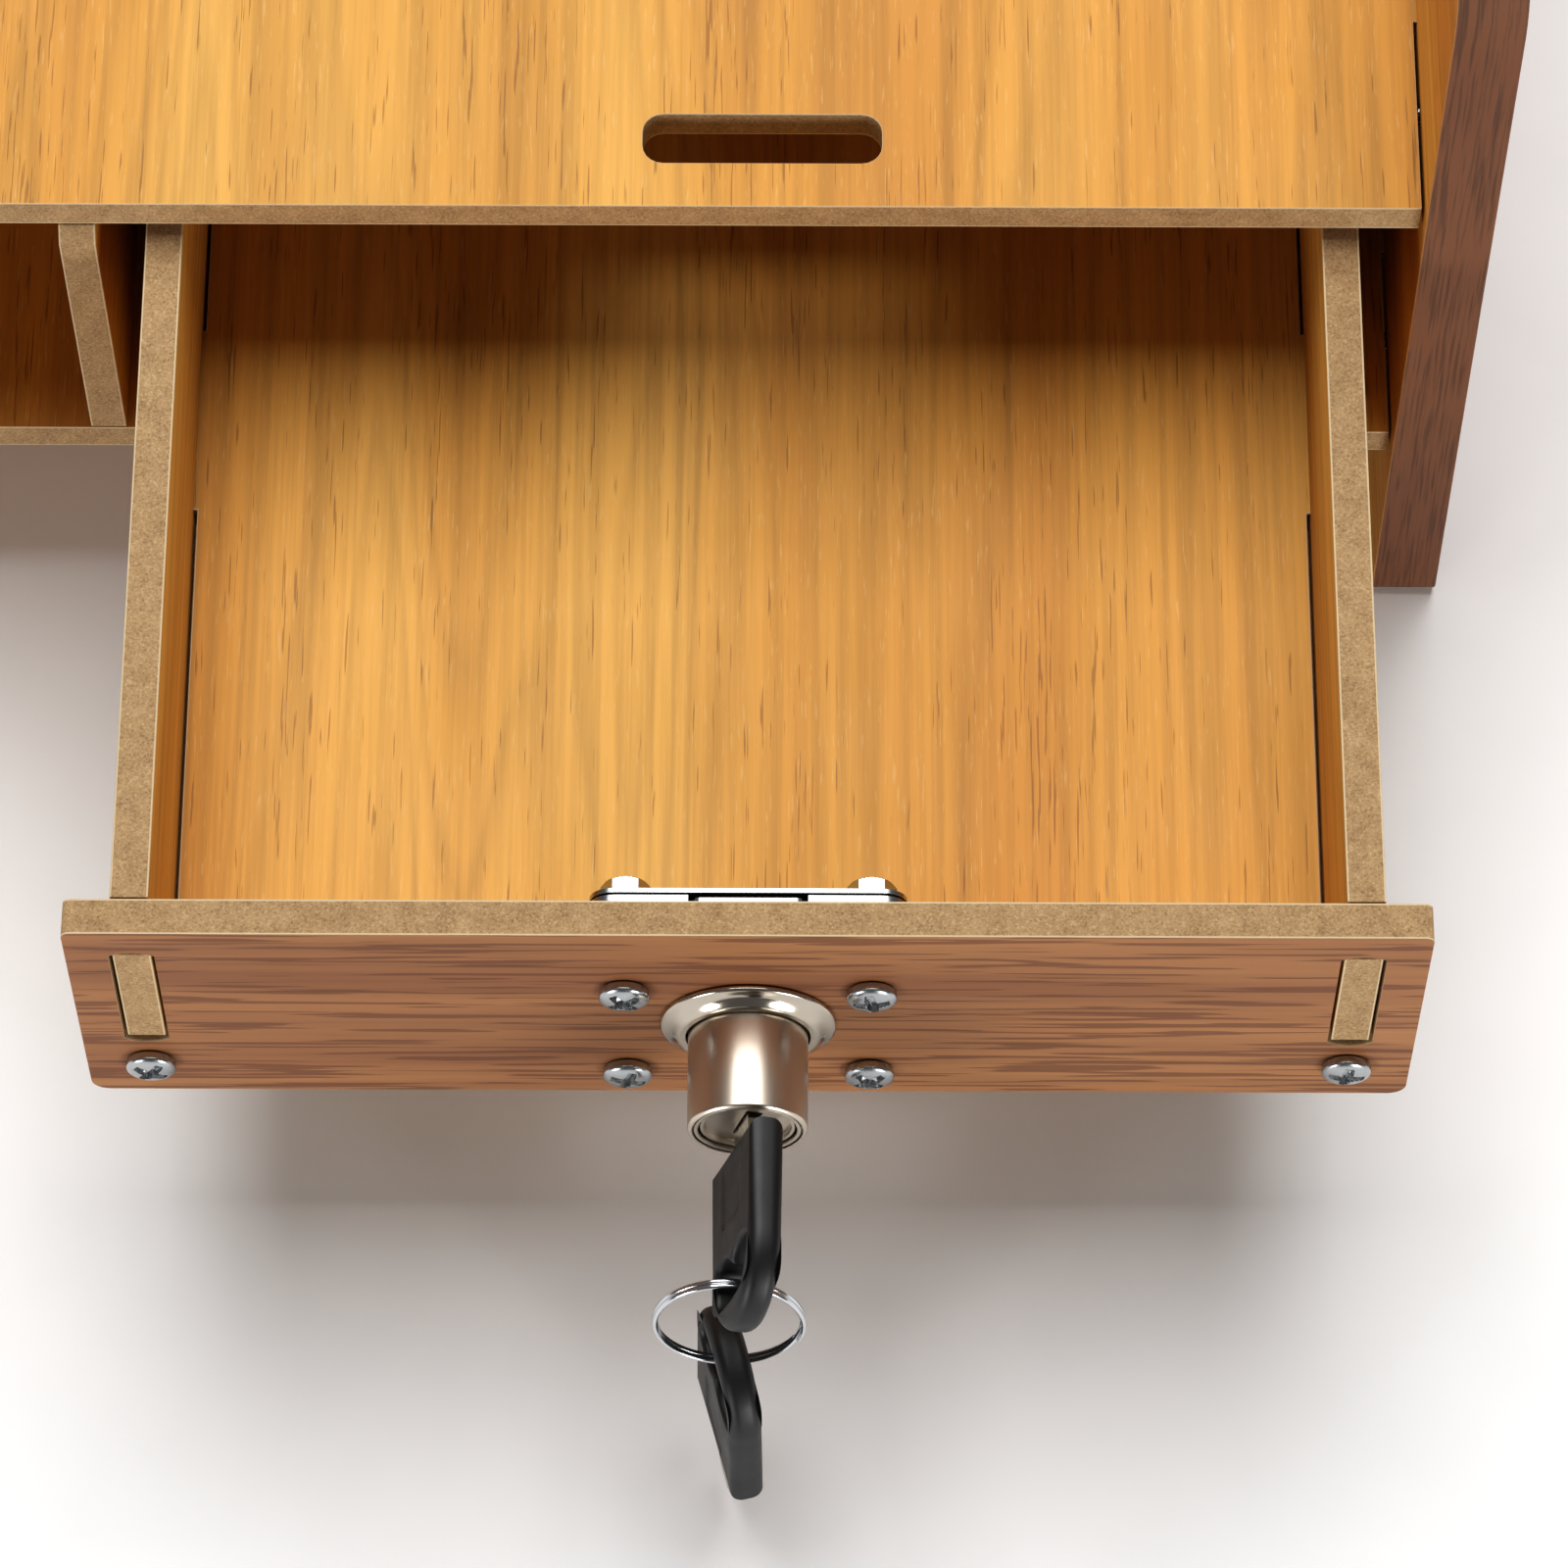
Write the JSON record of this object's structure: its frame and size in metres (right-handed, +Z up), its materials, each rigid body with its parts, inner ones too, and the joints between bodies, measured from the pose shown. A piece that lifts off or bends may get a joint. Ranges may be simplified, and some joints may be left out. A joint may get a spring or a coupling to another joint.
{
  "type": "desktop riser with lockable drawer",
  "caption": "Laminated board riser shelf on two side panels, with an open cubby and an inset drawer held by a key-operated rising bolt; split ring and spare key hang from the key.",
  "frame": {"origin": "on the floor plane, under the middle of the bounding box with the drawer half open", "axes": "+X to the right as seen from the front, +Y to the back, +Z up"},
  "size_m": [0.4826, 0.4244, 0.18],
  "materials": {
    "honey_laminate": "satin melamine laminate on board",
    "walnut_laminate": "satin melamine laminate on board",
    "satin_nickel": "satin nickel plate",
    "polished_nickel": "polished nickel plate",
    "zinc_plate": "bright zinc plate",
    "key_steel": "nickel plated, milled",
    "spring_steel": "polished wire",
    "black_plastic": "moulded, matt"
  },
  "bodies": {
    "carcass": {"side_panel_left": "honey_laminate", "side_panel_right": "honey_laminate", "shelf_board": "honey_laminate", "bottom_board": "honey_laminate", "divider": "honey_laminate", "back_panel": "honey_laminate", "side_screw_1": "zinc_plate", "side_screw_2": "zinc_plate", "side_screw_3": "zinc_plate", "side_screw_4": "zinc_plate", "side_screw_5": "zinc_plate", "side_screw_6": "zinc_plate", "side_screw_7": "zinc_plate", "side_screw_8": "zinc_plate"},
    "drawer": {"drawer_front": "walnut_laminate", "drawer_side_left": "honey_laminate", "drawer_side_right": "honey_laminate", "drawer_bottom": "honey_laminate", "drawer_back": "honey_laminate", "front_screw_left": "zinc_plate", "front_screw_right": "zinc_plate", "lock_case": "zinc_plate", "lock_cover": "zinc_plate", "lock_barrel": "satin_nickel", "lock_rosette": "polished_nickel", "lock_screw_1": "zinc_plate", "lock_screw_2": "zinc_plate", "lock_screw_3": "zinc_plate", "lock_screw_4": "zinc_plate", "lock_washer_1": "zinc_plate", "lock_washer_2": "zinc_plate", "lock_washer_3": "zinc_plate", "lock_washer_4": "zinc_plate", "lock_nut_1": "zinc_plate", "lock_nut_2": "zinc_plate", "lock_nut_3": "zinc_plate", "lock_nut_4": "zinc_plate"},
    "plug": {"lock_plug": "satin_nickel", "lock_driver": "zinc_plate"},
    "tongue": {"lock_tongue": "zinc_plate"},
    "key": {"key_bow": "black_plastic", "key_blade": "key_steel"},
    "ring": {"key_ring": "spring_steel"},
    "spare_key": {"spare_key_bow": "black_plastic", "spare_key_blade": "key_steel"}
  },
  "joints": [
    {"name": "drawer_slide", "type": "slide", "parent": "carcass", "child": "drawer", "axis": [0, 1, 0], "range_m": [-0.06, 0.1262]},
    {"name": "plug_turn", "type": "hinge", "parent": "drawer", "child": "plug", "pos_m": [0.1214, -0.1457, 0.0746], "axis": [0, 1, 0], "range_deg": [-15.5, 74.5]},
    {"name": "tongue_lift", "type": "slide", "parent": "drawer", "child": "tongue", "axis": [0, 0, 1], "range_m": [-0.0038, 0.0182]},
    {"name": "key_pull", "type": "slide", "parent": "plug", "child": "key", "axis": [0, -1, 0], "range_m": [0, 0.02]},
    {"name": "ring_sway", "type": "hinge", "parent": "key", "child": "ring", "pos_m": [0.11854, -0.1937, 0.06429], "axis": [0, 1, 0], "range_deg": [-75, 16]},
    {"name": "spare_swing", "type": "hinge", "parent": "ring", "child": "spare_key", "pos_m": [0.11854, -0.19693, 0.04471], "axis": [1, 0, 0], "range_deg": [-20, 20]}
  ],
  "couplings": [
    {"joint": "tongue_lift", "follows": "plug_turn", "m_per_rad": 0.0139},
    {"joint": "ring_sway", "follows": "plug_turn", "ratio": -1}
  ]
}
